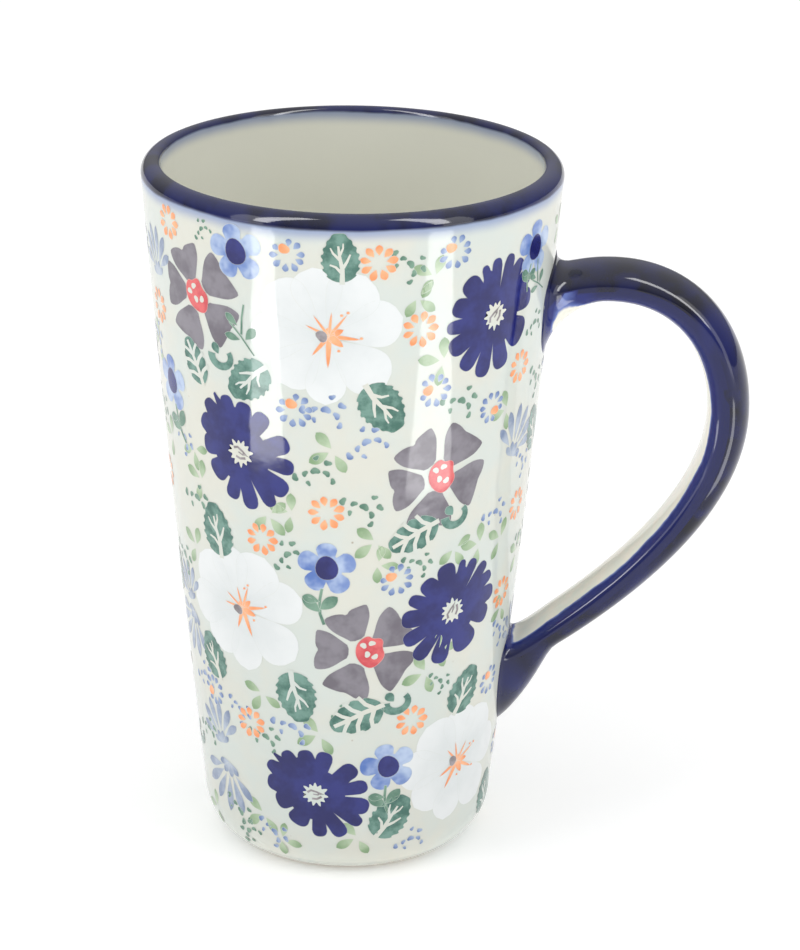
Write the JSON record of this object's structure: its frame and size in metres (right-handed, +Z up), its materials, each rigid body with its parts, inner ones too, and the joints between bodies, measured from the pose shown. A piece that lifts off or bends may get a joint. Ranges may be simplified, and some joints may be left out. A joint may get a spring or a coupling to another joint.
{
  "type": "stoneware mug",
  "caption": "Tall tapered stoneware mug with an ear-shaped strap handle, a rounded lip and a low foot ring, glazed and painted all round.",
  "frame": {"origin": "on the table, under the middle of the whole mug with its handle; the axis of the cup is 20.8 mm towards -X", "axes": "+Z up along the cup, +X from the cup towards the handle, Y across the handle's strap, about whose middle plane the clay shapes are symmetric"},
  "size_m": [0.1318, 0.09, 0.1563],
  "materials": {
    "cream_glaze": "gloss",
    "cobalt_glaze": "gloss"
  },
  "bodies": {
    "root": {"mug_body": "cream_glaze", "handle": "cobalt_glaze", "upper_slip_joint": "cobalt_glaze", "lower_slip_joint": "cobalt_glaze"}
  },
  "joints": []
}
